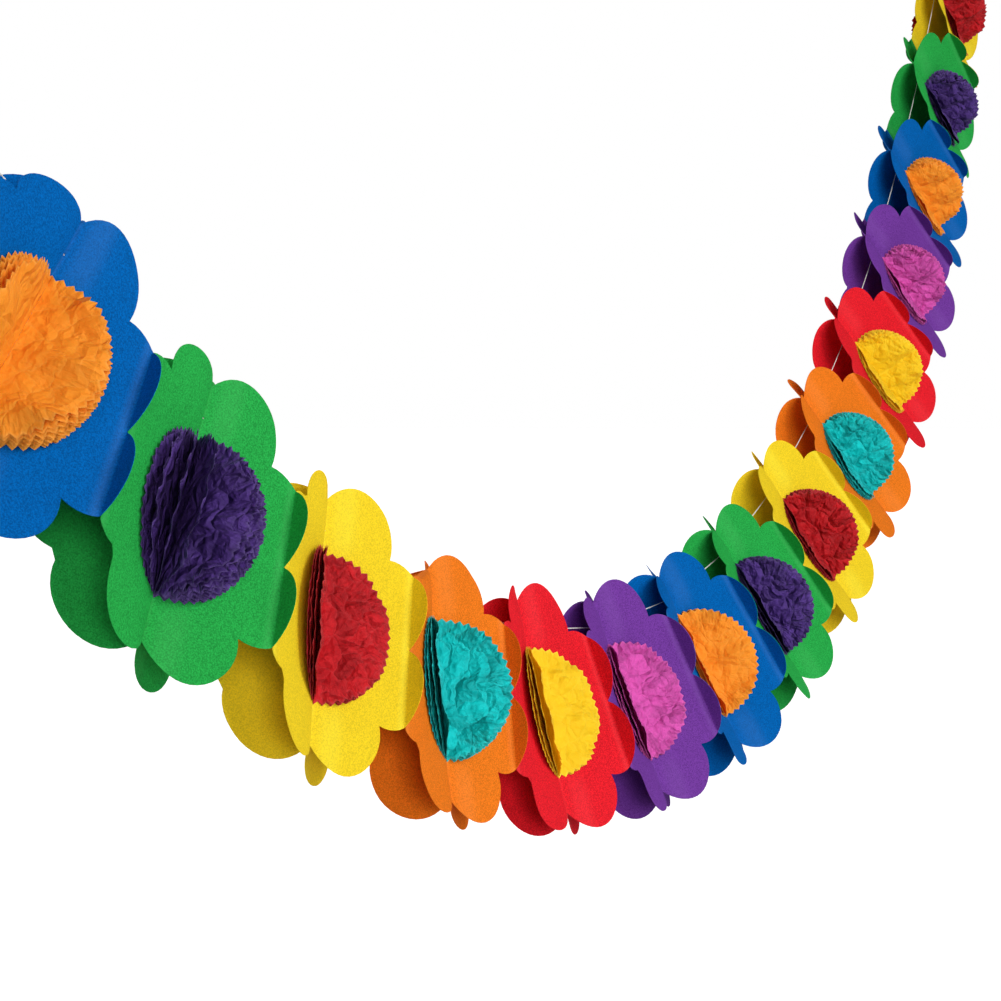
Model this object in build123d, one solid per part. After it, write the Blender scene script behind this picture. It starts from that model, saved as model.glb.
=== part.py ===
from build123d import *
import math
import os

# Garland: flowers threaded on a string that hangs as a swag
flower_count = 15
pitch = 146.0
swag_radius = 885.0
lowest_flower = 6.48
turn_middle = 25.0
turn_drift = 1.8

# Die-cut flower sheet
petals_per_half = 4
flower_radius = 101.0
notch_radius = 80.9
petal_chords = 5
paper = 0.3
glue_gap = 0.1
wing_angle = 17.4
fin_tilt = 17.0

# Tissue honeycomb between the two halves of a sheet
comb_radius = 50.5
comb_drop = 5.0
comb_leaves = 6
comb_cells = 6
cell_depth = 9.0
comb_spine = 3.0
comb_gap = 0.3

# String, its holes, knots and hanging loops
string_diameter = 1.2
string_height = 60.0
string_sides = 4
hole_diameter = 1.8
knot_diameter = 4.0
knot_offset = 9.0
tail_length = 140.0
loop_radius = 15.0
loop_chords = 16


def hang(index):
    """Point and slope of the string at a flower, along a catenary."""
    arc = pitch * (index - lowest_flower)
    x = swag_radius * math.asinh(arc / swag_radius)
    z = math.hypot(swag_radius, arc) - swag_radius
    slope = math.atan2(arc, swag_radius)
    return Vector(x, 0, z), Vector(math.cos(slope), 0, math.sin(slope))


# The origin is the middle of the near loop, which passes through the last knot of the tail
loop_reach = loop_radius * math.cos(math.pi / loop_chords)
first_point, first_way = hang(1)
near_loop = first_point - first_way * (tail_length + loop_reach)


def station(index):
    """Frame of a flower: X along the string, Y up its fold, Z out of its front."""
    point, way = hang(index)
    place = 2 * (index - 1) / (flower_count - 1) - 1
    turn = math.radians(turn_middle * (1 - place**2) + turn_drift * place)
    rise = Vector(-way.Z, 0, way.X) * math.cos(turn) + Vector(0, 1, 0) * math.sin(turn)
    return Plane(point - near_loop - rise * string_height, x_dir=way, z_dir=way.cross(rise))


def facing(frame, side):
    """The flower's frame seen from its front (1) or its back (-1), with room for glue at the fold."""
    origin = frame.origin + frame.z_dir * (side * glue_gap / 2)
    return Plane(origin, x_dir=frame.x_dir * side, z_dir=frame.z_dir * side)


# Half of the flat flower: a petal is the arc through two notches and the tip between them
petal_step = math.pi / petals_per_half
notch_near = notch_radius * math.cos(petal_step / 2)
notch_aside = notch_radius * math.sin(petal_step / 2)
petal_ring = (flower_radius**2 - notch_radius**2) / (2 * (flower_radius - notch_near))
petal_radius = flower_radius - petal_ring
petal_sweep = math.atan2(notch_aside, notch_near - petal_ring)


def half_flower():
    points = []
    for petal in range(petals_per_half):
        middle = (petal + 0.5) * petal_step
        for chord in range(petal_chords):
            angle = middle + petal_sweep * (2 * chord / petal_chords - 1)
            u = petal_ring * math.sin(middle) + petal_radius * math.sin(angle)
            v = petal_ring * math.cos(middle) + petal_radius * math.cos(angle)
            points.append((max(u, 0.0), v))
    points.append((0.0, -notch_radius))
    return make_face(Polyline(*points, close=True))


flat_half = half_flower()
beyond = 2 * flower_radius


def side_notch(frame, hand):
    """Notch at the side of a sheet whose halves stand out by the wing angle."""
    lean = math.radians(wing_angle)
    out = frame.x_dir * (hand * math.cos(lean)) + frame.z_dir * math.sin(lean)
    return frame.origin + out * notch_radius


def meeting(index, side, hand):
    """Middle of the crease that a half shares with the next sheet, midway between their notches."""
    point = side_notch(facing(station(index), side), hand)
    beside = index + hand * side
    if 1 <= beside <= flower_count:
        point = (point + side_notch(facing(station(beside), side), -hand)) / 2
    return point


def wing_ways(index, side, hand):
    """Outward direction and front normal of the right (1) or left (-1) half of a folded sheet."""
    frame = facing(station(index), side)
    way = meeting(index, side, hand) - frame.origin
    out = (way - frame.y_dir * way.dot(frame.y_dir)).normalized()
    return out, out.cross(frame.y_dir) * hand


def half_sheet(index, side, hand):
    """One half of a folded sheet, with the lobes past its crease turned out into the glued fin."""
    frame = facing(station(index), side)
    out, front = wing_ways(index, side, hand)
    plane = Plane(frame.origin, x_dir=out, z_dir=front * hand)
    beside = index + hand * side
    if not 1 <= beside <= flower_count:
        return extrude(plane * flat_half, amount=paper * hand)
    other = wing_ways(beside, side, -hand)[1]
    reach = other.dot(meeting(index, side, hand) - frame.origin) / other.dot(out)
    slant = -other.dot(frame.y_dir) / other.dot(out)
    top = (reach + slant * beyond, beyond)
    foot = (reach - slant * beyond, -beyond)
    inside = make_face(Polyline(top, foot, (-beyond, -beyond), (-beyond, beyond), close=True))
    wing = extrude(plane * (flat_half & inside), amount=paper * hand)
    tabs = extrude(plane * (flat_half - inside), amount=paper * hand)
    ridge = (frame.y_dir + out * slant).normalized()
    mine = ridge.cross(front) * hand
    theirs = ridge.cross(other) * -hand
    tilt = fin_tilt * (1 if hand * frame.x_dir.X > 0 else -1)
    fold = math.degrees(math.acos(mine.dot(theirs))) / 2 + tilt
    axis = Axis(tuple(frame.origin + out * reach), tuple(ridge * -hand))
    tabs = tabs.rotate(axis, fold)
    lift = front.rotate(axis, fold) * (glue_gap / 2)
    return wing + tabs.moved(Location(tuple(lift)))


def flower_sheet(index, side):
    """A whole folded sheet of one flower, front (1) or back (-1)."""
    sheet = half_sheet(index, side, 1) + half_sheet(index, side, -1)
    point = station(index).origin + station(index).y_dir * string_height
    hole = RegularPolygon(hole_diameter / 2, string_sides, major_radius=False)
    bore = extrude(Plane(point, z_dir=station(index).x_dir) * hole, amount=notch_radius, both=True)
    return sheet - bore


def facet(*points):
    return make_face(Polyline(*points, close=True)).face()


def honeycomb(index, side):
    """Half-ball of tissue leaves on one side of a flower: leaf edges stand out between diamond cells."""
    frame = facing(station(index), side)
    leans = []
    for hand in (1, -1):
        out, _ = wing_ways(index, side, hand)
        leans.append(math.atan2(out.dot(frame.z_dir), hand * out.dot(frame.x_dir)))
    sweep = math.pi - sum(leans)
    lift = (comb_gap + paper) / math.cos(max(leans))

    def corner(leaf, cell):
        height = math.pi * (0.5 - cell / comb_cells)
        between = 0 < leaf < comb_leaves and 0 < cell < comb_cells
        dent = cell_depth if between and (leaf + cell) % 2 else 0.0
        reach = max((comb_radius - dent) * math.cos(height), comb_spine)
        angle = leans[0] + sweep * leaf / comb_leaves
        v = comb_radius * math.sin(height) - comb_drop
        return Vector(reach * math.cos(angle), v, reach * math.sin(angle) + lift)

    top = Vector(0, comb_radius - comb_drop, lift)
    foot = Vector(0, -comb_radius - comb_drop, lift)
    faces = []
    for leaf in range(comb_leaves):
        for cell in range(comb_cells):
            a, b = corner(leaf, cell), corner(leaf + 1, cell)
            c, d = corner(leaf + 1, cell + 1), corner(leaf, cell + 1)
            if (leaf + cell) % 2:
                faces += [facet(a, b, d), facet(b, c, d)]
            else:
                faces += [facet(a, b, c), facet(a, c, d)]
        faces.append(facet(top, corner(leaf, 0), corner(leaf + 1, 0)))
        faces.append(facet(foot, corner(leaf, comb_cells), corner(leaf + 1, comb_cells)))
    for leaf in (0, comb_leaves):
        rim = [corner(leaf, cell) for cell in range(comb_cells + 1)]
        faces.append(facet(top, *rim, foot))
    return Solid(Shell(faces)).moved(frame.location)


def string_ring(point, before, after, diameter):
    """Corners of the string's section where a run in one direction turns into the next."""
    across = Vector(-before.Z - after.Z, 0, before.X + after.X).normalized()
    mitre = Vector(-after.Z, 0, after.X).dot(across)
    corners = []
    for side in range(string_sides):
        angle = 2 * math.pi * (side + 0.5) / string_sides
        way = across * (math.cos(angle) / mitre) + Vector(0, 1, 0) * math.sin(angle)
        corners.append(point + way * (diameter / 2))
    return corners


def string_walls(rings):
    faces = []
    for low, high in zip(rings, rings[1:]):
        for side in range(string_sides):
            after = (side + 1) % string_sides
            faces.append(facet(low[side], low[after], high[after], high[side]))
    return faces


def knot_rings(middle, way):
    """Sections of a knot, from thread to full width and back."""
    half = knot_diameter / 2
    steps = [(-half, string_diameter), (-half / 2, knot_diameter)]
    steps += [(half / 2, knot_diameter), (half, string_diameter)]
    return [string_ring(middle + way * along, way, way, size) for along, size in steps]


def hanging_loop(end, way):
    """Closed loop past an end of the string, with one chord through the knot there."""
    middle = end + way * loop_reach
    aside = Vector(-way.Z, 0, way.X)
    points = []
    for chord in range(loop_chords):
        angle = 2 * math.pi * (chord + 0.5) / loop_chords
        points.append(middle - (way * math.cos(angle) + aside * math.sin(angle)) * loop_radius)
    ways = [(points[i] - points[i - 1]).normalized() for i in range(loop_chords)]
    rings = []
    for i in range(loop_chords):
        rings.append(string_ring(points[i], ways[i], ways[(i + 1) % loop_chords], string_diameter))
    return Solid(Shell(string_walls(rings + rings[:1])))


def string():
    """One thread through every fold, with knots beside the holes and a tied loop at each end."""
    last_point, last_way = hang(flower_count)
    start = first_point - first_way * tail_length - near_loop
    finish = last_point + last_way * tail_length - near_loop
    holes = [hang(index)[0] - near_loop for index in range(1, flower_count + 1)]
    stops = [start] + holes + [finish]
    runs = [(stops[i + 1] - stops[i]).normalized() for i in range(flower_count + 1)]
    rings = knot_rings(start, runs[0])
    for i in range(flower_count):
        rings += knot_rings(holes[i] - runs[i] * knot_offset, runs[i])
        rings.append(string_ring(holes[i], runs[i], runs[i + 1], string_diameter))
    rings += knot_rings(finish, runs[-1])
    thread = Solid(Shell(string_walls(rings) + [facet(*rings[0]), facet(*rings[-1])]))
    return thread.fuse(hanging_loop(start, first_way * -1), hanging_loop(finish, last_way))


os.makedirs("parts", exist_ok=True)
for number in range(1, flower_count + 1):
    export_step(flower_sheet(number, 1), f"parts/front_flower_{number:02d}.step")
    export_step(flower_sheet(number, -1), f"parts/back_flower_{number:02d}.step")
    pair = Compound([honeycomb(number, 1), honeycomb(number, -1)])
    export_step(pair, f"parts/honeycomb_{number:02d}.step")
export_step(string(), "parts/string.step")
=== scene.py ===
"""Paper flower garland: folded flower sheets, tissue honeycombs and the string they hang on."""

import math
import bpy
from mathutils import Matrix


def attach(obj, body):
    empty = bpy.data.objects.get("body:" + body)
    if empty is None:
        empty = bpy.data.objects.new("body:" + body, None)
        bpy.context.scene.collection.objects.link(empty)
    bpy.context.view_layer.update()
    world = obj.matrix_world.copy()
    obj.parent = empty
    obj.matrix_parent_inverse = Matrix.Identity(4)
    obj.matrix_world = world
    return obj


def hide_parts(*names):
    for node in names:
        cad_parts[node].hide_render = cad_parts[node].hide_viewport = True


bl_info = {
    "name": "Paper flower garland",
    "version": (1, 0, 0),
    "blender": (4, 5, 0),
    "location": "3D View > Sidebar > Garland",
    "description": "Builds a hanging garland of folded paper flowers with tissue honeycombs",
    "category": "Add Mesh",
}

from functools import partial

import bmesh
import bpy
from bpy.props import FloatProperty, FloatVectorProperty, IntProperty, PointerProperty
from mathutils import Matrix, Vector, noise

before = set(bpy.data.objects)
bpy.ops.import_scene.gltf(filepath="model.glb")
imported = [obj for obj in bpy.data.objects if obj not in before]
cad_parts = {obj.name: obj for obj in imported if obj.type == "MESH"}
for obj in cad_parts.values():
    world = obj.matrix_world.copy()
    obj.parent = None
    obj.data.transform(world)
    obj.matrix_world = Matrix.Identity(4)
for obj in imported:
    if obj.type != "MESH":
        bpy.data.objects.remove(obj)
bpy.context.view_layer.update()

PAPERS = ("blue", "green", "yellow", "orange", "red", "purple")
TISSUES = ("orange", "violet", "crimson", "teal", "gold", "magenta")

# How far a front crease has strayed from midway between its two flowers, in millimetres:
# along the string and out of the face, then the twist of both from mid height to a petal's notch
CREASE_STRAY = {
    0: (0.0, 0.0, 0.0, -15.0),
    1: (-3.5, -2.3, 1.7, -6.0),
    2: (-2.7, 0.9, 5.5, -4.1),
    3: (-5.8, 0.4, 8.9, 0.1),
    4: (-5.6, -6.3, 7.0, 2.2),
    5: (-3.2, -2.5, 1.3, -2.1),
    6: (2.6, 2.4, -0.5, -0.4),
    7: (2.8, 2.9, -0.4, -1.4),
    8: (-1.1, -0.4, -1.0, -1.2),
    9: (2.3, -3.8, -1.3, 0.6),
}

# Height that the twist of a crease is measured to, in metres
TWIST_HEIGHT = 0.0573

# How far each crease of the back stands out past its regular place, in millimetres
BACK_SWELL = {2: 6, 3: 6, 6: 5, 7: 9, 8: 12, 9: 12, 10: 12, 11: 11, 12: 11, 13: 9}

# How far the upper petals on the near side of a fold have curled over, as a share of what stands past
# their notches: flowers that differ, then the usual share, and how deep the curl goes for its reach
FRONT_CURL = {1: 0.4, 4: 0.95, 6: 0.45, 7: 0.6, 8: 0.6}
FRONT_CURL_USUAL = 0.23
BACK_CURL = {1: 0.4, 2: 0.5, 3: 0.5, 4: 0.95, 5: 0.5, 6: 0.5}
BACK_CURL_USUAL = 0.2
CURL_DEPTH = 0.3

# How far the two bunches of leaves in a honeycomb have opened, in degrees: flowers that differ,
# then the usual angle and how far it varies by chance
FIRST_OPEN = {2: 84, 3: 36, 5: 33, 6: 37, 8: 70, 14: 72}
FIRST_OPEN_USUAL = 60
FIRST_OPEN_SWING = 5
SECOND_OPEN = {1: 152, 2: 128, 3: 156, 5: 158, 8: 148, 14: 148}
SECOND_OPEN_USUAL = 154
SECOND_OPEN_SWING = 3

# How far the second bunch on the front has come away from its paper, and the gap that all leaves keep
# from it, in degrees
SECOND_LIFT = {3: 6, 5: 5}
LEAF_SLACK = 1.2

# Petals of a flat flower, chords of a loop in the solids, and the straight steps in a petal, half a hole,
# a loop and a knot
PETALS = 8
PETAL_TURN = 2 * math.pi / PETALS
LOOP_CHORDS = 16
PETAL_STEPS = 18
HOLE_STEPS = 6
LOOP_STEPS = 40
KNOT_STEPS = 48

# Lines that a flat half is cut along before it is bent, in metres: beside the fold, at even steps, before
# and past the crease; then the steps in half a crease, and how close points merge
BESIDE_FOLD = (0.001, 0.003)
SHEET_STEP = 0.009
BEFORE_CREASE = (0.0065, 0.004)
PAST_CREASE = (0.007, 0.011)
BEND_STEPS = 3
MERGE = 1e-6
SHARP = math.radians(50)

# Where bent paper strays from flat, in metres: petals from a start over a span, calm beside a fin;
# the swell beside the fold rises over a length and is kept above and below the honeycomb
TIP_START = 0.055
TIP_SPAN = 0.045
FIN_CALM = 0.03
STRAY_SCALE = 14
SWELL_RISE = 0.012
COMB_HALF = 0.042
COMB_FADE = 0.02

# Pale marks on the paper, as place, width and strength: a pale line on the fold, a painted highlight beside a
# crease and a painted highlight on the swell
FOLD_PALE_LINE = (0.0, 0.001, 0.5)
CREASE_HIGHLIGHT = (-0.004, 0.003, 0.5)
SWELL_HIGHLIGHT = (0.014, 0.008, 0.45)

# How leaves are spread: easing of a bunch, fading of the teeth inwards, the pull of the outermost leaf,
# and the radii, in metres, where the waves and the crinkles reach their full depth
FAN_EASE = 1.25
TOOTH_FADE = 12
PULL_EASE = 5
WAVE_RADIUS = 0.02
CRINKLE_RADIUS = 0.012
SPINE_RADIUS = 0.0001

# Radius and offset of a ply as shares of the string, its sides, and a knot's depth and width as drawn
PLY_RADIUS = 0.29
PLY_OFFSET = 0.22
PLY_SIDES = 6
KNOT_DEPTH = 1.6
KNOT_WIDTH = 7.2

# Stage, in metres: floor, suns (strength, spread in degrees, direction) and the soft key light
FLOOR_REACH = 30
FLOOR_HEIGHT = -2.6
FLOOR_GLOW = 0.7
SUNS = {
    "side_light": (1.45, 30, (0.7, 0.68, -0.22)),
    "fill_light": (0.45, 40, (-0.6, 0.8, -0.05)),
    "back_light": (2.5, 30, (-0.3, -0.88, -0.4)),
}
KEY_WATTS = 16.5
KEY_SIZE = 0.8
KEY_PLACE = Vector((0.5, -1.5, 0.4))
KEY_AIM = Vector((0.85, 0.0, -0.35))
SKY_LIGHT = 0.1

# Camera: focal length and picture width in pixels, place in metres, then yaw, tilt and roll in radians
SENSOR = 36.0
FOCAL_PIXELS = 1973.06
PICTURE_PIXELS = 1001
CAMERA_PLACE = (-0.69117, -0.66651, -0.12886)
CAMERA_TURNS = (-1.0917, 0.1074, -0.0365)
FAR_CLIP = 200.0


def length(name, description, default):
    return FloatProperty(
        name=name, description=description, default=default, subtype="DISTANCE", unit="LENGTH"
    )


def angle(name, description, degrees):
    return FloatProperty(
        name=name, description=description, default=math.radians(degrees), subtype="ANGLE", unit="ROTATION"
    )


def tint(name, description, code):
    """Colour property from a six-digit code, kept as linear light."""
    shades = [int(code[i : i + 2], 16) / 255 for i in (0, 2, 4)]
    linear = [s / 12.92 if s <= 0.04045 else ((s + 0.055) / 1.055) ** 2.4 for s in shades]
    return FloatVectorProperty(
        name=name, description=description, default=linear, size=3, subtype="COLOR", min=0.0, max=1.0
    )


class GarlandSizes(bpy.types.PropertyGroup):
    """Sizes of the swag, the flower sheets, the honeycombs and the string"""

    flower_count: IntProperty(name="Flowers", description="Flowers on the string", default=15, min=2)
    pitch: length("Pitch", "String from one flower to the next", 0.146)
    swag_radius: length("Swag radius", "Bend of the string at its lowest point", 0.885)
    lowest_flower: FloatProperty(
        name="Lowest flower", description="Place of the lowest point, in flowers", default=6.48
    )
    turn_middle: angle("Turn", "How far the middle flowers lean about the string", 25.0)
    turn_drift: angle("Turn drift", "Difference in lean from the first flower to the last", 1.8)

    flower_radius: length("Flower radius", "From the middle of a flower to a petal's tip", 0.101)
    notch_radius: length("Notch radius", "From the middle of a flower to a notch between petals", 0.0809)
    paper: length("Paper", "Thickness of the flower paper", 0.0003)
    glue_gap: length("Glue", "Thickness of the glue between two sheets", 0.0001)
    wing_angle: angle("Wing angle", "How far each half of a sheet stands out from flat", 17.4)
    fin_tilt: angle("Fin tilt", "How far the glued fins lean along the string", 17.0)
    crease_width: length("Crease width", "Half the width of the bend at a crease", 0.0014)
    fold_swell: length("Fold swell", "How far the paper swells out beside its fold", 0.0055)
    petal_curl: length("Petal curl", "How far a petal's tip strays from flat", 0.0022)

    comb_radius: length("Honeycomb radius", "Radius of a tissue leaf", 0.0505)
    comb_drop: length("Honeycomb drop", "How far the honeycomb sits below mid height", 0.005)
    comb_teeth: IntProperty(name="Teeth", description="Pinked teeth round one leaf", default=25, min=3)
    tooth_depth: length("Tooth depth", "Depth of the pinked edge", 0.0026)
    cell_height: length("Cell height", "Distance between two glue lines", 0.0165)
    crinkle: length("Crinkle", "Unevenness of the tissue", 0.0014)
    tissue: length("Tissue", "Thickness of a tissue leaf", 0.00014)

    string_diameter: length("String", "Diameter of the string", 0.0012)
    string_height: length("String height", "Height of the holes above the middle of a flower", 0.06)
    string_lay: length("Lay", "String that its two plies take for one turn", 0.0055)
    hole_diameter: length("Hole", "Diameter of the hole in the fold", 0.0018)
    knot_diameter: length("Knot", "Size of a knot", 0.004)
    knot_offset: length("Knot offset", "Distance of a knot from its hole", 0.009)
    tail_length: length("Tail", "String past the last flower", 0.14)
    loop_radius: length("Loop radius", "Radius of the hanging loops", 0.015)


class GarlandColours(bpy.types.PropertyGroup):
    """Colours of the papers, the tissues and the string"""

    paper_blue: tint("Blue paper", "Colour of the blue flowers", "0060AE")
    paper_green: tint("Green paper", "Colour of the green flowers", "27A648")
    paper_yellow: tint("Yellow paper", "Colour of the yellow flowers", "FFDF2A")
    paper_orange: tint("Orange paper", "Colour of the orange flowers", "F5801F")
    paper_red: tint("Red paper", "Colour of the red flowers", "E3202C")
    paper_purple: tint("Purple paper", "Colour of the purple flowers", "713A9A")
    tissue_orange: tint("Orange tissue", "Colour of the orange honeycombs", "FFA52E")
    tissue_violet: tint("Violet tissue", "Colour of the violet honeycombs", "4A3078")
    tissue_crimson: tint("Crimson tissue", "Colour of the crimson honeycombs", "B4161E")
    tissue_teal: tint("Teal tissue", "Colour of the teal honeycombs", "0ABAB9")
    tissue_gold: tint("Gold tissue", "Colour of the gold honeycombs", "FFDA21")
    tissue_magenta: tint("Magenta tissue", "Colour of the magenta honeycombs", "CC50A6")
    thread_white: tint("White thread", "Colour of the string", "F2F0EA")


def sizes():
    return bpy.context.scene.garland_sizes


# Nodes

class Wire:
    """A node socket that Python expressions can use."""

    def __init__(self, tree, socket):
        self.tree = tree
        self.socket = socket

    @staticmethod
    def make(tree, kind, settings=None, inputs=None, output=0):
        """Adds a node, sets it up, fills its sockets and returns one of its outputs."""
        node = tree.nodes.new(kind)
        for name, value in (settings or {}).items():
            setattr(node, name, value)
        for key, value in (inputs or {}).items():
            if isinstance(value, Wire):
                tree.links.new(value.socket, node.inputs[key])
            else:
                node.inputs[key].default_value = value
        return Wire(tree, node.outputs[output] if node.outputs else None)

    def math(self, operation, *others):
        values = dict(enumerate((self, *others)))
        return Wire.make(self.tree, "ShaderNodeMath", {"operation": operation}, values)

    def __add__(self, other):
        return self.math("ADD", other)

    def __radd__(self, other):
        return self.math("ADD", other)

    def __sub__(self, other):
        return self.math("SUBTRACT", other)

    def __rsub__(self, other):
        return self.math("MULTIPLY_ADD", -1.0, other)

    def __mul__(self, other):
        return self.math("MULTIPLY", other)

    def __truediv__(self, other):
        return self.math("DIVIDE", other)

    def __pow__(self, other):
        return self.math("POWER", other)

    def __abs__(self):
        return self.math("ABSOLUTE")

    def __lt__(self, other):
        return self.math("LESS_THAN", other)


def new_material(name):
    material = bpy.data.materials.new(name)
    material.use_nodes = True
    material.node_tree.nodes.clear()
    return material, material.node_tree


def object_coords(tree):
    return Wire.make(tree, "ShaderNodeTexCoord", None, None, "Object")


def stored(tree, name, output="Fac"):
    """A value kept on the mesh."""
    return Wire.make(tree, "ShaderNodeAttribute", {"attribute_name": name}, None, output)


def cloud(tree, coords, scale, detail=2.0, roughness=0.5, distortion=0.0, output="Fac"):
    values = {"Vector": coords, "Scale": scale, "Detail": detail}
    values |= {"Roughness": roughness, "Distortion": distortion}
    return Wire.make(tree, "ShaderNodeTexNoise", None, values, output)


def ramp(tree, value, low, high, start=0.0, end=1.0):
    """A value between low and high, carried over to the range from start to end."""
    values = {"Value": value, "From Min": low, "From Max": high, "To Min": start, "To Max": end}
    return Wire.make(tree, "ShaderNodeMapRange", None, values)


def shade(colour, amount):
    """The colour made darker (below 1) or lighter (above 1), with its hue kept."""
    gain = min(amount, 1.0 / max(colour))
    return [c * gain for c in colour] + [1.0]


def faded(colour, gain, white):
    """The colour made paler by a gain and some white."""
    return [min(1.0, c * gain + white) for c in colour] + [1.0]


def blend(tree, mask, low, high):
    settings = {"data_type": "RGBA", "clamp_factor": True}
    return Wire.make(tree, "ShaderNodeMix", settings, {0: mask, 6: low, 7: high}, 2)


def bumps(tree, height, distance, strength):
    values = {"Strength": strength, "Distance": distance, "Height": height}
    return Wire.make(tree, "ShaderNodeBump", None, values)


def thin_surface(tree, values, glow, share):
    """Output of a thin sheet, which scatters a share of the light through to its other side."""
    surface = Wire.make(tree, "ShaderNodeBsdfPrincipled", None, values)
    through = Wire.make(tree, "ShaderNodeBsdfTranslucent", None, {"Color": glow})
    thin = Wire.make(tree, "ShaderNodeMixShader", None, {0: share, 1: surface, 2: through})
    Wire.make(tree, "ShaderNodeOutputMaterial", None, {"Surface": thin})


def paper_finish(name, colour):
    """Dyed craft paper: mottled fibres, fine specks, a pale line along the folds and painted highlights
    beside the creases and on the swell.
    """
    material, tree = new_material(name)
    coords = object_coords(tree)
    specks = cloud(tree, coords, scale=1050.0, roughness=0.6)
    fibres = cloud(tree, coords, scale=210.0, detail=4.0, roughness=0.65, distortion=0.8)
    drift = cloud(tree, coords, scale=17.0)
    mottle = 0.5 + (specks - 0.5) * 3.2 + (fibres - 0.5) * 0.4 + (drift - 0.5) * 0.3
    coloured = blend(tree, mottle, shade(colour, 0.68), shade(colour, 1.28))
    # Paler where the fold attribute marks the pale line on the fold and the painted highlights beside creases
    # and on the swell
    pale_line_and_highlights = blend(tree, stored(tree, "fold") * (0.4 + fibres * 0.5), coloured, faded(colour, 1.2, 0.05))
    values = {"Base Color": pale_line_and_highlights, "Roughness": 0.7 + fibres * 0.2, "Specular IOR Level": 0.04}
    values["Normal"] = bumps(tree, specks * 0.6 + fibres * 0.4, distance=0.0003, strength=0.35)
    thin_surface(tree, values, [c**1.6 for c in colour] + [1.0], share=0.1)
    return material


def tissue_finish(name, colour):
    """Thin dyed tissue: facetted between its glue lines and crinkled, with painted light and shade on its
    facets, creases and pleats and painted highlights along its pinked edge and the facet ridges.

    A pale dye gets less painted shade and shallower bumps on its creases, and lets more light through.
    """
    material, tree = new_material(name)
    paleness = max(colour)
    coords = object_coords(tree)
    creases = cloud(tree, coords, scale=120.0, detail=3.0, roughness=0.6, distortion=1.2)
    fibres = cloud(tree, coords, scale=900.0, detail=3.0, roughness=0.7)
    warp = cloud(tree, coords, scale=70.0, output="Color")
    strays = {0: warp, 1: (0.016, 0.016, 0.016), 2: coords}
    bent = Wire.make(tree, "ShaderNodeVectorMath", {"operation": "MULTIPLY_ADD"}, strays)
    cells = {"Vector": bent, "Scale": 72.0, "Randomness": 1.0}
    tents = Wire.make(tree, "ShaderNodeTexVoronoi", {"feature": "DISTANCE_TO_EDGE"}, cells, "Distance")
    patch = Wire.make(tree, "ShaderNodeTexVoronoi", {"feature": "F1"}, cells, "Color")
    rim = stored(tree, "rim")
    # Painted highlight along the pinked rim
    edge = ramp(tree, rim, 0.955, 1.0)
    pleats = (cloud(tree, stored(tree, "pleats", "Vector"), scale=1.0) - 0.5) * ramp(tree, rim, 0.45, 0.95)
    # Painted light and shade: each facet lighter or darker, darker in the crease valleys and along the
    # pleats; the fibres are grain. A deep dye gets deeper painted shade
    mottle = 0.58 + (patch - 0.5) * 0.95 + (creases - 0.5) * 1.8 + (fibres - 0.5) * 0.5 + pleats * 1.6
    coloured = blend(tree, mottle, shade(colour, 0.57 + 0.41 * paleness), shade(colour, 1.42))
    # Painted highlight along the ridges between facets
    ridge = ramp(tree, tents, 0.0, 0.05, start=0.2, end=0.0)
    with_painted_highlights = blend(tree, (edge * 0.6).math("MAXIMUM", ridge), coloured, faded(colour, 1.25, 0.06))
    values = {"Base Color": with_painted_highlights, "Roughness": 0.52 + fibres * 0.25, "Specular IOR Level": 0.18}
    height = tents + creases * 0.3 + fibres * 0.03 + pleats * 0.25
    values["Normal"] = bumps(tree, height, distance=0.0118 - 0.0078 * paleness, strength=1.0)
    thin_surface(tree, values, shade(colour, 1.0), share=0.05 + 0.22 * paleness)
    return material


def thread_finish(name, colour):
    """Two-ply cotton thread with grey fluff in its grooves."""
    material, tree = new_material(name)
    coords = object_coords(tree)
    fluff = cloud(tree, coords, scale=1800.0, detail=3.0, roughness=0.7)
    soil = cloud(tree, coords, scale=60.0)
    coloured = blend(tree, fluff * 0.6 + soil * 0.4, shade(colour, 0.86), shade(colour, 1.3))
    values = {"Base Color": coloured, "Roughness": 0.8 + fluff * 0.15, "Sheen Weight": 0.2}
    values["Normal"] = bumps(tree, fluff, distance=0.0002, strength=0.4)
    surface = Wire.make(tree, "ShaderNodeBsdfPrincipled", None, values)
    Wire.make(tree, "ShaderNodeOutputMaterial", None, {"Surface": surface})
    return material


def finish_named(slot):
    """The finish for a slot, made once."""
    known = bpy.data.materials.get("garland_" + slot)
    if known:
        return known
    colour = list(getattr(bpy.context.scene.garland_colours, slot))
    makers = {"paper": paper_finish, "tissue": tissue_finish, "thread": thread_finish}
    return makers[slot.split("_")[0]]("garland_" + slot, colour)


# Swag

def hang(index):
    """Point and direction of the string at a flower, along a catenary."""
    s = sizes()
    arc = s.pitch * (index - s.lowest_flower)
    x = s.swag_radius * math.asinh(arc / s.swag_radius)
    z = math.hypot(s.swag_radius, arc) - s.swag_radius
    slope = math.atan2(arc, s.swag_radius)
    return Vector((x, 0, z)), Vector((math.cos(slope), 0, math.sin(slope)))


def loop_reach():
    """From a loop's middle to the knot that it passes through."""
    return sizes().loop_radius * math.cos(math.pi / LOOP_CHORDS)


def near_loop():
    """Middle of the near loop, where the garland's own frame has its origin."""
    s = sizes()
    point, way = hang(1)
    return point - way * (s.tail_length + loop_reach())


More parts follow.
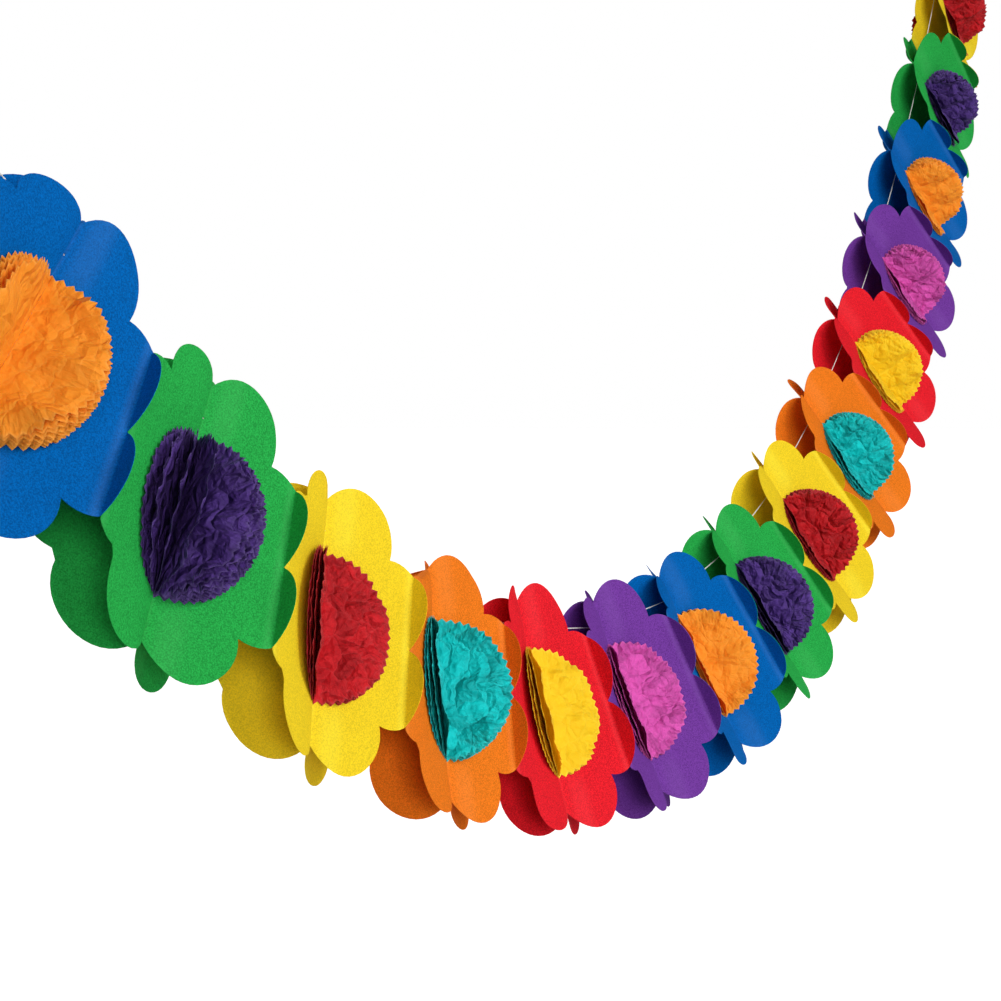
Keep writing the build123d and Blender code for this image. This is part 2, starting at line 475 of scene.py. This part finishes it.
def station(index, side=1):
    """Frame of a flower seen from its front (1) or back (-1): along the string, up the fold, outward."""
    s = sizes()
    point, way = hang(index)
    place = 2 * (index - 1) / (s.flower_count - 1) - 1
    turn = s.turn_middle * (1 - place**2) + s.turn_drift * place
    rise = Vector((-way.z, 0, way.x)) * math.cos(turn) + Vector((0, 1, 0)) * math.sin(turn)
    out = way.cross(rise)
    middle = point - near_loop() - rise * s.string_height
    return middle + out * (side * s.glue_gap / 2), way * side, rise, out * side


def wing(place, hand):
    """Outward direction and front normal of the right (1) or left (-1) half of a folded sheet."""
    _, along, _, out = place
    lean = sizes().wing_angle
    outward = along * (hand * math.cos(lean)) + out * math.sin(lean)
    return outward, out * math.cos(lean) - along * (hand * math.sin(lean))


def new_piece(name, mesh, slot, *nodes):
    """Puts a finished mesh in the scene as the piece that stands for some of the frame's nodes."""
    piece = bpy.data.objects.new(name, mesh)
    bpy.context.collection.objects.link(piece)
    mesh.materials.clear()
    mesh.materials.append(finish_named(slot))
    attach(piece, "root")
    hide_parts(*nodes)


def evaluated(holder):
    """The holder's mesh with its modifiers worked in; the holder itself is removed."""
    graph = bpy.context.evaluated_depsgraph_get()
    mesh = bpy.data.meshes.new_from_object(holder.evaluated_get(graph), depsgraph=graph)
    data = holder.data
    bpy.data.objects.remove(holder)
    if isinstance(data, bpy.types.Mesh):
        bpy.data.meshes.remove(data)
    else:
        bpy.data.curves.remove(data)
    return mesh


# Flower sheets

def clamp(value):
    return max(0.0, min(1.0, value))


def half_outline():
    """Edge of half a flat flower from top to bottom, with half a hole in the fold."""
    s = sizes()
    near = s.notch_radius * math.cos(PETAL_TURN / 2)
    aside = s.notch_radius * math.sin(PETAL_TURN / 2)
    ring = (s.flower_radius**2 - s.notch_radius**2) / (2 * (s.flower_radius - near))
    sweep = math.atan2(aside, near - ring)
    points = []
    for petal in range(PETALS // 2):
        middle = (petal + 0.5) * PETAL_TURN
        for arc in range(PETAL_STEPS):
            turn = middle + sweep * (2 * arc / PETAL_STEPS - 1)
            u = ring * math.sin(middle) + (s.flower_radius - ring) * math.sin(turn)
            v = ring * math.cos(middle) + (s.flower_radius - ring) * math.cos(turn)
            points.append((max(u, 0.0), v))
    points.append((0.0, -s.notch_radius))
    hole = s.hole_diameter / 2
    for part in range(HOLE_STEPS + 1):
        turn = math.pi * part / HOLE_STEPS
        points.append((hole * math.sin(turn), s.string_height - hole * math.cos(turn)))
    return points


def crease_line(index, side, hand):
    """Middle, upward step and fin direction of the crease that a half shares with the next sheet.

    The outer halves of the first and last flower are bent as if the garland went on, but have no fin.
    """
    s = sizes()
    place = station(index, side)
    beside = index + hand * side
    reach = s.notch_radius
    other = station(beside, side)
    middle = (place[0] + wing(place, hand)[0] * reach + other[0] + wing(other, -hand)[0] * reach) / 2
    step = (place[2] + other[2]) / 2
    out = (place[3] + other[3]).normalized()
    along = (place[1] + other[1]).normalized() * side
    crease = min(index, beside)
    if side == 1:
        stray = CREASE_STRAY.get(crease, (0.0, 0.0, 0.0, 0.0))
    else:
        stray = (0.0, BACK_SWELL.get(crease, 0.0), 0.0, 0.0)
    slide, swell, slide_twist, swell_twist = (value / 1000 for value in stray)
    middle += along * slide + out * swell
    step += (along * slide_twist + out * swell_twist) / TWIST_HEIGHT
    if not 1 <= beside <= s.flower_count:
        return middle, step, None
    fin = out * math.cos(s.fin_tilt) - along * math.sin(s.fin_tilt)
    fin -= step * fin.dot(step) / step.length_squared
    return middle, step, fin.normalized()


def lean_line(index, side, hand):
    """Lean of a half at the middle of its flower, and its change for each metre up the fold."""
    place = station(index, side)
    middle, step, _ = crease_line(index, side, hand)
    span = sizes().comb_radius
    leans = []
    for v in (-span, span):
        way = middle + step * v - place[0] - place[2] * v
        leans.append(math.atan2(way.dot(place[3]), hand * way.dot(place[1])))
    return sum(leans) / 2, (leans[1] - leans[0]) / (2 * span)


def flat_half():
    """Half of a flat flower, cut along straight lines so that it can bend."""
    s = sizes()
    reach, bend = s.notch_radius, s.crease_width
    across = [*BESIDE_FOLD, *(SHEET_STEP * n for n in range(1, math.ceil(reach / SHEET_STEP)))]
    across += [reach - gap for gap in BEFORE_CREASE]
    across += [reach + bend * n / BEND_STEPS for n in range(-BEND_STEPS, BEND_STEPS + 1)]
    across += [reach + gap for gap in PAST_CREASE]
    rows = math.ceil(s.flower_radius / SHEET_STEP)
    lines = [(Vector((u, 0, 0)), Vector((1, 0, 0))) for u in across]
    lines += [(Vector((0, SHEET_STEP * n, 0)), Vector((0, 1, 0))) for n in range(1 - rows, rows)]
    mesh = bmesh.new()
    mesh.faces.new([mesh.verts.new((u, v, 0)) for u, v in half_outline()])
    for point, way in lines:
        parts = mesh.verts[:] + mesh.edges[:] + mesh.faces[:]
        bmesh.ops.bisect_plane(mesh, geom=parts, dist=MERGE, plane_co=point, plane_no=way)
    return mesh


def curled_share(index, side, hand):
    """Share by which the upper petals of a half have curled over, which only the near half does."""
    if hand != -side:
        return 0.0
    if side == 1:
        return FRONT_CURL.get(index, FRONT_CURL_USUAL)
    return BACK_CURL.get(index, BACK_CURL_USUAL)


def over_crease(ridge, way, fin, h):
    """Point of the paper at a distance past its crease: on the half, round the bend or out in the fin."""
    bend = sizes().crease_width
    if fin is None or h <= -bend:
        return ridge + way * h
    if h > bend:
        return ridge + fin * h
    fold = way.angle(fin)
    up = (fin - way * fin.dot(way) / way.length_squared).normalized()
    turn = fold * (h + bend) / (2 * bend)
    radius = bend / math.tan(fold / 2)
    return ridge + way * (radius * math.sin(turn) - bend) + up * (radius * (1 - math.cos(turn)))


def pale_band(distance, place, width, strength):
    """Strength of a pale band at a distance from a fold, fading to both sides of its place: a pale line or a
    painted highlight.
    """
    return strength * math.exp(-(((distance - place) / width) ** 2))


def half_sheet(index, side, hand):
    """Half of a folded sheet as a bent mesh, with the lobes past its crease turned out into the fin."""
    s = sizes()
    place = station(index, side)
    _, front = wing(place, hand)
    reach = s.notch_radius
    middle, step, fin = crease_line(index, side, hand)
    mesh = flat_half()
    pale_line_and_highlights = mesh.verts.layers.float.new("fold")
    seed = Vector((index * 3.7, side * 5.1, hand * 2.3))
    curled = curled_share(index, side, hand)
    petals = [Vector((math.sin(turn), math.cos(turn))) for turn in (PETAL_TURN / 2, PETAL_TURN * 3 / 2)]
    for vertex in mesh.verts:
        u, v, _ = vertex.co
        petal = petals[0] if u < v else petals[1]
        past = 0.0
        if u < v or fin is None:
            past = max(0.0, petal.dot((u, v)) - reach * petals[0].y) * curled
        u, v = u - petal.x * past, v - petal.y * past
        h = u - reach
        spine = place[0] + place[2] * v
        ridge = middle + step * v
        point = over_crease(ridge, (ridge - spine) / reach, fin, h)
        tip = clamp((math.hypot(u, v) - TIP_START) / TIP_SPAN)
        clear = clamp((abs(v + s.comb_drop) - COMB_HALF) / COMB_FADE)
        # A pale line on the fold, a painted highlight beside a crease, and on one half a painted highlight on
        # the swell
        pale_marks = [pale_band(u, *FOLD_PALE_LINE)]
        if fin is not None:
            tip *= clamp(-h / FIN_CALM)
            pale_marks.append(pale_band(h, *CREASE_HIGHLIGHT))
        if hand == side:
            pale_marks.append(clear * pale_band(u, *SWELL_HIGHLIGHT))
        curl = noise.noise(Vector((u, v, 0)) * STRAY_SCALE + seed) * 2 * s.petal_curl * tip * tip
        if 0 < u < reach:
            curl += s.fold_swell * clear * (1 - math.exp(-u / SWELL_RISE)) * (1 - u / reach)
        vertex.co = point + front * (curl - past * CURL_DEPTH)
        vertex[pale_line_and_highlights] = max(pale_marks)
    bmesh.ops.triangulate(mesh, faces=[f for f in mesh.faces if len(f.verts) > 4])
    mesh.normal_update()
    facing = sum((f.normal * f.calc_area() for f in mesh.faces), Vector())
    if facing.dot(front) < 0:
        bmesh.ops.reverse_faces(mesh, faces=mesh.faces[:])
    return mesh


def sheet_mesh(name, index, side):
    """Both halves of a sheet joined at the fold and given the paper's thickness."""
    both = bpy.data.meshes.new(name)
    whole = bmesh.new()
    for hand in (1, -1):
        half = half_sheet(index, side, hand)
        half.to_mesh(both)
        half.free()
        whole.from_mesh(both)
    bmesh.ops.remove_doubles(whole, verts=whole.verts[:], dist=MERGE)
    whole.to_mesh(both)
    whole.free()
    holder = bpy.data.objects.new(name + "_holder", both)
    bpy.context.collection.objects.link(holder)
    wall = holder.modifiers.new("Paper", "SOLIDIFY")
    wall.thickness = sizes().paper
    wall.offset = 1.0
    wall.use_even_offset = True
    mesh = evaluated(holder)
    mesh.name = name
    for polygon in mesh.polygons:
        polygon.use_smooth = True
    mesh.set_sharp_from_angle(angle=SHARP)
    return mesh


class GARLAND_OT_flower_sheets(bpy.types.Operator):
    """Make the folded front and back sheet of every flower"""

    bl_idname = "garland.flower_sheets"
    bl_label = "Flower sheets"

    def execute(self, context):
        for index in range(1, sizes().flower_count + 1):
            slot = "paper_" + PAPERS[(index - 1) % len(PAPERS)]
            for side, label in ((1, "front"), (-1, "back")):
                node = f"{label}_flower_{index:02d}"
                mesh = sheet_mesh(node + "_mesh", index, side)
                new_piece(f"{label}_sheet_{index:02d}", mesh, slot, node)
        return {"FINISHED"}


# Tissue honeycombs

def new_tree(name, inputs):
    """New modifier nodes with named inputs, each a kind of socket and its default.

    Gives the nodes, the inputs' identifiers and their wires.
    """
    tree = bpy.data.node_groups.new(name, "GeometryNodeTree")
    tree.is_modifier = True
    keys = {}
    for label, (kind, default) in inputs.items():
        socket = tree.interface.new_socket(name=label, in_out="INPUT", socket_type="NodeSocket" + kind)
        if default is not None:
            socket.default_value = default
        keys[label] = socket.identifier
    tree.interface.new_socket(name="Geometry", in_out="OUTPUT", socket_type="NodeSocketGeometry")
    source = tree.nodes.new("NodeGroupInput")
    given = {socket.name: Wire(tree, socket) for socket in source.outputs if socket.name}
    return tree, keys, given


def marked(node, geometry, name, value, kind="FLOAT", domain="POINT"):
    """The geometry with a value stored on it under a name."""
    inputs = {"Geometry": geometry, "Name": name, "Value": value}
    return node("GeometryNodeStoreNamedAttribute", {"data_type": kind, "domain": domain}, inputs)


def leaf_spot(node):
    """Place on a flat leaf, from 0 at the fold to 1 at the rim and round it, and the leaf's number."""
    position = node("GeometryNodeInputPosition")
    across = node("ShaderNodeSeparateXYZ", None, {0: position}, "X")
    around = node("ShaderNodeSeparateXYZ", None, {0: position}, "Y")
    leaf = node("GeometryNodeInputNamedAttribute", {"data_type": "FLOAT"}, {"Name": "leaf"}, "Attribute")
    return across + 0.5, around, leaf


def flat_leaves(node, given):
    """Flat grids for all leaves, marked with their number, their way out to the rim and their pleats."""
    size = {"Size X": 1.0, "Size Y": 1.0}
    size |= {"Vertices X": given["Rings"] + 1, "Vertices Y": given["Teeth"] * 2 + 1}
    grid = node("GeometryNodeMeshGrid", None, size, "Mesh")
    count = given["First Leaves"] + given["Second Leaves"]
    places = node("GeometryNodeMeshLine", None, {"Count": count, "Offset": (0.0, 0.0, 0.0)})
    leaves = node("GeometryNodeInstanceOnPoints", None, {"Points": places, "Instance": grid})
    counted = marked(node, leaves, "leaf", node("GeometryNodeInputIndex"), domain="INSTANCE")
    loose = node("GeometryNodeRealizeInstances", None, {"Geometry": counted})
    out, around, leaf = leaf_spot(node)
    rimmed = marked(node, loose, "rim", out)
    spots = {0: out * 3, 1: around * 60, 2: leaf * 1.7 + given["Seed"] * 9}
    return marked(node, rimmed, "pleats", node("ShaderNodeCombineXYZ", None, spots), kind="FLOAT_VECTOR")


def fanned_place(node, given):
    """Where a point of a leaf lies once the two bunches are fanned out, waved and crinkled."""
    out, around, leaf = leaf_spot(node)
    tooth = 1 - abs(((around + 0.5) * given["Teeth"]).math("FRACT") * 2 - 1)
    reach = given["Radius"] - given["Tooth Depth"] * tooth * out**TOOTH_FADE
    r = (out * reach * (around * math.pi).math("COSINE")).math("MAXIMUM", SPINE_RADIUS)
    v = out * reach * (around * math.pi).math("SINE")
    first = leaf < given["First Leaves"] - 0.5

    def either(one, other):
        """One value for the first bunch and another for the second."""
        return first * one + (1 - first) * other

    lowest = given["First Low"] + given["First Slope"] * (v - given["Drop"])
    highest = given["Second High"] + given["Second Slope"] * (v - given["Drop"])
    past_low = leaf / (given["First Leaves"] - 1)
    past_high = (given["First Leaves"] + given["Second Leaves"] - 1 - leaf) / (given["Second Leaves"] - 1)
    low = lowest + (given["First High"] - lowest) * past_low.math("MAXIMUM", 0.0) ** FAN_EASE
    high = highest - (highest - given["Second Low"]) * past_high.math("MAXIMUM", 0.0) ** FAN_EASE
    gap_first = (given["First High"] - given["First Low"]) / given["First Leaves"]
    gap_second = (given["Second High"] - given["Second Low"]) / given["Second Leaves"]

    cell = v / given["Cell Height"]
    wave = abs((cell + leaf * 0.5 + given["Seed"]).math("FRACT") * 2 - 1) * 2 - 1
    waved = wave * either(gap_first, gap_second) * either(0.5, 0.14) * (r / WAVE_RADIUS).math("MINIMUM", 1.0)

    spot = node("ShaderNodeCombineXYZ", None, {0: r, 1: v, 2: leaf * 0.05 + given["Seed"]})
    uneven = node("ShaderNodeTexNoise", None, {"Vector": spot, "Scale": 70.0, "Detail": 2.0}, "Fac") - 0.5
    cells = {"Vector": spot, "Scale": 75.0, "Randomness": 0.9}
    facet = node("ShaderNodeTexVoronoi", {"feature": "F1"}, cells, "Distance") - 0.45
    crinkled = (uneven * 2 + facet * 2.2) * given["Crinkle"] / r.math("MAXIMUM", CRINKLE_RADIUS)

    tent = 1 - abs((cell * 0.5 + given["Seed"]).math("FRACT") * 2 - 1)
    middle_of_leaf = (r / given["Radius"]) * (1 - r / given["Radius"]) * 4
    top_first = past_low.math("MINIMUM", 1.0) ** PULL_EASE
    top_second = past_high.math("MAXIMUM", 0.0).math("MINIMUM", 1.0) ** PULL_EASE
    pulled = given["Pull"] * tent * middle_of_leaf * either(top_first, top_second * -0.5)

    turn = either(low, high) + waved + crinkled * either(1.0, 0.4) + pulled
    turn = turn.math("MAXIMUM", lowest).math("MINIMUM", highest)
    along, outward = r * turn.math("COSINE"), r * turn.math("SINE") + given["Lift"]
    return node("ShaderNodeCombineXYZ", None, {0: along, 1: v - given["Drop"], 2: outward})


def honeycomb_tree():
    """Nodes that fan half-disc leaves out from the fold in two bunches, on one side of a flower."""
    s = sizes()
    inputs = {
        "Radius": ("Float", s.comb_radius),
        "Drop": ("Float", s.comb_drop),
        "Lift": ("Float", 0.0007),
        "Tooth Depth": ("Float", s.tooth_depth),
        "Cell Height": ("Float", s.cell_height),
        "Crinkle": ("Float", s.crinkle),
        "First Low": ("Float", 0.32),
        "First Slope": ("Float", 0.0),
        "First High": ("Float", 1.1),
        "Second Low": ("Float", 2.4),
        "Second High": ("Float", 2.82),
        "Second Slope": ("Float", 0.0),
        "Pull": ("Float", 0.26),
        "Seed": ("Float", 0.0),
        "First Leaves": ("Int", 10),
        "Second Leaves": ("Int", 4),
        "Teeth": ("Int", s.comb_teeth),
        "Rings": ("Int", 8),
        "Tissue": ("Material", None),
    }
    tree, keys, given = new_tree("Tissue honeycomb", inputs)
    node = partial(Wire.make, tree)
    places = {"Geometry": flat_leaves(node, given), "Position": fanned_place(node, given)}
    fanned = node("GeometryNodeSetPosition", None, places)
    whole = node("GeometryNodeRealizeInstances", None, {"Geometry": fanned})
    coloured = node("GeometryNodeSetMaterial", None, {"Geometry": whole, "Material": given["Tissue"]})
    node("NodeGroupOutput", None, {0: coloured})
    return tree, keys


class GARLAND_OT_honeycombs(bpy.types.Operator):
    """Make the tissue honeycomb on both sides of every flower"""

    bl_idname = "garland.honeycombs"
    bl_label = "Tissue honeycombs"

    def execute(self, context):
        tree, keys = honeycomb_tree()
        for index in range(1, sizes().flower_count + 1):
            slot = "tissue_" + TISSUES[(index - 1) % len(TISSUES)]
            name = f"honeycomb_{index:02d}"
            mesh = bpy.data.meshes.new(name + "_mesh")
            whole = bmesh.new()
            for side in (1, -1):
                half = self.half(context, index, side, tree, keys, finish_named(slot))
                whole.from_mesh(half)
                bpy.data.meshes.remove(half)
            whole.to_mesh(mesh)
            whole.free()
            new_piece(f"honeycomb_leaves_{index:02d}", mesh, slot, name)
        return {"FINISHED"}

    def half(self, context, index, side, tree, keys, tissue):
        """Mesh of the leaves on the front (1) or back (-1) of a flower, in place."""
        holder = bpy.data.objects.new("leaves_holder", bpy.data.meshes.new("leaves_start"))
        context.collection.objects.link(holder)
        fan = holder.modifiers.new("Leaves", "NODES")
        fan.node_group = tree
        swing = noise.noise(Vector((index * 1.9, 4.2, 0.7 * side)))
        first = FIRST_OPEN.get(index, FIRST_OPEN_USUAL) + FIRST_OPEN_SWING * swing
        second = SECOND_OPEN.get(index, SECOND_OPEN_USUAL) + SECOND_OPEN_SWING * swing
        slack = math.radians(LEAF_SLACK)
        lift = math.radians(SECOND_LIFT.get(index, 0)) if side == 1 else 0.0
        low, low_slope = lean_line(index, side, 1)
        high, high_slope = lean_line(index, side, -1)
        fan[keys["First Low"]] = low + slack
        fan[keys["First Slope"]] = low_slope
        fan[keys["First High"]] = math.radians(first)
        fan[keys["Second Low"]] = math.radians(second) - lift
        fan[keys["Second High"]] = math.pi - high - slack - lift
        fan[keys["Second Slope"]] = -high_slope
        fan[keys["Seed"]] = index * 0.37 + (1 - side) * 2.6
        fan[keys["Tissue"]] = tissue
        wall = holder.modifiers.new("Tissue", "SOLIDIFY")
        wall.thickness = sizes().tissue
        wall.offset = 0.0
        mesh = evaluated(holder)
        middle, along, rise, out = station(index, side)
        mesh.transform(Matrix((along, rise, out)).transposed().to_4x4())
        mesh.transform(Matrix.Translation(middle))
        return mesh


# String

def string_tree():
    """Nodes that lay two plies round a path."""
    s = sizes()
    inputs = {
        "Geometry": ("Geometry", None),
        "Diameter": ("Float", s.string_diameter),
        "Lay": ("Float", s.string_lay),
        "Step": ("Float", 0.0011),
        "Thread": ("Material", None),
    }
    tree, keys, given = new_tree("Two-ply string", inputs)
    node = partial(Wire.make, tree)
    steps = {"Curve": given["Geometry"], "Length": given["Step"]}
    path = node("GeometryNodeResampleCurve", {"mode": "LENGTH"}, steps)
    run = node("GeometryNodeSplineParameter", None, None, "Length")
    laid = node("GeometryNodeSetCurveTilt", None, {"Curve": path, "Tilt": run * (2 * math.pi) / given["Lay"]})
    circle = {"Resolution": PLY_SIDES, "Radius": given["Diameter"] * PLY_RADIUS}
    ply = node("GeometryNodeCurvePrimitiveCircle", None, circle)
    plies = tree.nodes.new("GeometryNodeJoinGeometry")
    for way in (PLY_OFFSET, -PLY_OFFSET):
        aside = node("ShaderNodeCombineXYZ", None, {0: given["Diameter"] * way})
        moved = node("GeometryNodeTransform", None, {"Geometry": ply, "Translation": aside})
        tree.links.new(moved.socket, plies.inputs[0])
    sweep = {"Curve": laid, "Profile Curve": Wire(tree, plies.outputs[0]), "Fill Caps": True}
    tube = node("GeometryNodeCurveToMesh", None, sweep)
    whole = node("GeometryNodeRealizeInstances", None, {"Geometry": tube})
    coloured = node("GeometryNodeSetMaterial", None, {"Geometry": whole, "Material": given["Thread"]})
    node("NodeGroupOutput", None, {0: coloured})
    return tree, keys


def string_paths():
    """The thread through the holes and the two loops as runs of points, and the middles of the knots."""
    s = sizes()
    base = near_loop()
    first, first_way = hang(1)
    last, last_way = hang(s.flower_count)
    start = first - first_way * s.tail_length - base
    finish = last + last_way * s.tail_length - base
    holes = [hang(index)[0] - base for index in range(1, s.flower_count + 1)]
    stops = [start] + holes + [finish]
    knots = [(start, first_way), (finish, last_way)]
    for before, hole in zip(stops, holes):
        way = (hole - before).normalized()
        knots.append((hole - way * s.knot_offset, way))
    loops = []
    for end, way in ((start, -first_way), (finish, last_way)):
        middle = end + way * loop_reach()
        up = Vector((-way.z, 0, way.x))
        points = []
        for n in range(LOOP_STEPS + 1):
            turn = 2 * math.pi * n / LOOP_STEPS
            points.append(middle + (up * math.sin(turn) - way * math.cos(turn)) * s.loop_radius)
        loops.append(points)
    return [stops] + loops, knots


def knot_path(middle, way, size):
    """Trefoil of thread round a point."""
    up = Vector((-way.z, 0, way.x))
    side = way.cross(up)
    points = []
    for n in range(KNOT_STEPS + 1):
        t = 2 * math.pi * n / KNOT_STEPS
        x = math.sin(t) + 2 * math.sin(2 * t)
        y = math.cos(t) - 2 * math.cos(2 * t)
        z = -math.sin(3 * t)
        points.append(middle + (up * x + side * y + way * (z * KNOT_DEPTH)) * (size / KNOT_WIDTH))
    return points


class GARLAND_OT_string(bpy.types.Operator):
    """Make the string with its knots and hanging loops"""

    bl_idname = "garland.string"
    bl_label = "String"

    def execute(self, context):
        s = sizes()
        runs, knots = string_paths()
        runs += [knot_path(middle, way, s.knot_diameter) for middle, way in knots]
        curve = bpy.data.curves.new("string_path", "CURVE")
        curve.dimensions = "3D"
        for run in runs:
            spline = curve.splines.new("POLY")
            spline.points.add(len(run) - 1)
            for point, place in zip(spline.points, run):
                point.co = (*place, 1.0)
        holder = bpy.data.objects.new("string_holder", curve)
        context.collection.objects.link(holder)
        tree, keys = string_tree()
        plies = holder.modifiers.new("Plies", "NODES")
        plies.node_group = tree
        plies[keys["Diameter"]] = s.string_diameter
        plies[keys["Lay"]] = s.string_lay
        plies[keys["Thread"]] = finish_named("thread_white")
        mesh = evaluated(holder)
        mesh.name = "string_mesh"
        for polygon in mesh.polygons:
            polygon.use_smooth = True
        new_piece("two_ply_string", mesh, "thread_white", "string")
        return {"FINISHED"}


# Stage

def in_view(tree):
    """1 for rays that the camera sees, also mirrored or passed on, and 0 for light that only bounces."""
    rays = ("Is Camera Ray", "Is Glossy Ray", "Is Transmission Ray")
    seen, mirrored, through = (Wire.make(tree, "ShaderNodeLightPath", None, None, ray) for ray in rays)
    return (seen + mirrored + through).math("MINIMUM", 1.0)


class GARLAND_OT_stage(bpy.types.Operator):
    """Set the floor, the light and the camera"""

    bl_idname = "garland.stage"
    bl_label = "Stage"

    def execute(self, context):
        context.scene.view_settings.view_transform = "Standard"
        self.floor(context)
        self.light(context)
        self.camera(context)
        return {"FINISHED"}

    def floor(self, context):
        mesh = bpy.data.meshes.new("floor")
        corners = [(-1, -1), (1, -1), (1, 1), (-1, 1)]
        points = [(x * FLOOR_REACH, y * FLOOR_REACH, FLOOR_HEIGHT) for x, y in corners]
        mesh.from_pydata(points, [], [(0, 1, 2, 3)])
        floor = bpy.data.objects.new("floor", mesh)
        context.collection.objects.link(floor)
        material, tree = new_material("floor_white")
        matt = Wire.make(tree, "ShaderNodeBsdfDiffuse", None, {"Color": (0.85, 0.85, 0.85, 1)})
        shine = {"Color": (1, 1, 1, 1), "Strength": in_view(tree) * FLOOR_GLOW}
        glow = Wire.make(tree, "ShaderNodeEmission", None, shine)
        both = Wire.make(tree, "ShaderNodeAddShader", None, {0: matt, 1: glow})
        Wire.make(tree, "ShaderNodeOutputMaterial", None, {"Surface": both})
        mesh.materials.append(material)

    def light(self, context):
        for name, (strength, spread, toward) in SUNS.items():
            sun = bpy.data.lights.new(name, "SUN")
            sun.energy = strength
            sun.angle = math.radians(spread)
            self.hang_lamp(context, sun, Vector(toward))
        box = bpy.data.lights.new("key_light", "AREA")
        box.energy = KEY_WATTS
        box.size = KEY_SIZE
        lamp = self.hang_lamp(context, box, KEY_AIM - KEY_PLACE)
        lamp.location = KEY_PLACE
        lamp.visible_camera = False
        world = bpy.data.worlds.new("white_studio")
        context.scene.world = world
        world.use_nodes = True
        tree = world.node_tree
        tree.nodes.clear()
        glow = {"Color": (1, 1, 1, 1), "Strength": SKY_LIGHT + in_view(tree) * (1 - SKY_LIGHT)}
        sky = Wire.make(tree, "ShaderNodeBackground", None, glow)
        Wire.make(tree, "ShaderNodeOutputWorld", None, {"Surface": sky})

    def hang_lamp(self, context, light, toward):
        """The light as an object that shines in a direction."""
        lamp = bpy.data.objects.new(light.name, light)
        context.collection.objects.link(lamp)
        lamp.rotation_euler = toward.to_track_quat("-Z", "Y").to_euler()
        return lamp

    def camera(self, context):
        data = bpy.data.cameras.new("camera")
        data.sensor_width = SENSOR
        data.lens = SENSOR * FOCAL_PIXELS / PICTURE_PIXELS
        data.clip_end = FAR_CLIP
        camera = bpy.data.objects.new("camera", data)
        context.collection.objects.link(camera)
        yaw, tilt, roll = CAMERA_TURNS
        back = Vector((math.sin(yaw) * math.cos(tilt), -math.cos(yaw) * math.cos(tilt), math.sin(tilt)))
        level = Vector((math.cos(yaw), math.sin(yaw), 0))
        up = back.cross(level)
        right = level * math.cos(roll) + up * math.sin(roll)
        up = up * math.cos(roll) - level * math.sin(roll)
        turned = Matrix((right, up, back)).transposed().to_4x4()
        camera.matrix_world = Matrix.Translation(CAMERA_PLACE) @ turned
        context.scene.camera = camera


class GARLAND_PT_panel(bpy.types.Panel):
    """Sizes, colours and the steps of the garland"""

    bl_label = "Paper flower garland"
    bl_idname = "GARLAND_PT_panel"
    bl_space_type = "VIEW_3D"
    bl_region_type = "UI"
    bl_category = "Garland"

    def draw(self, context):
        layout = self.layout
        for group in (context.scene.garland_sizes, context.scene.garland_colours):
            column = layout.column(align=True)
            for name in group.__annotations__:
                column.prop(group, name)
        for step in STEPS:
            layout.operator(step.bl_idname)


STEPS = (GARLAND_OT_flower_sheets, GARLAND_OT_honeycombs, GARLAND_OT_string, GARLAND_OT_stage)
CLASSES = (GarlandSizes, GarlandColours, *STEPS, GARLAND_PT_panel)


def register():
    for cls in CLASSES:
        bpy.utils.register_class(cls)
    bpy.types.Scene.garland_sizes = PointerProperty(type=GarlandSizes)
    bpy.types.Scene.garland_colours = PointerProperty(type=GarlandColours)


def unregister():
    del bpy.types.Scene.garland_colours
    del bpy.types.Scene.garland_sizes
    for cls in reversed(CLASSES):
        bpy.utils.unregister_class(cls)


def main():
    register()
    bpy.ops.garland.flower_sheets()
    bpy.ops.garland.honeycombs()
    bpy.ops.garland.string()
    bpy.ops.garland.stage()


if __name__ == "__main__":
    main()
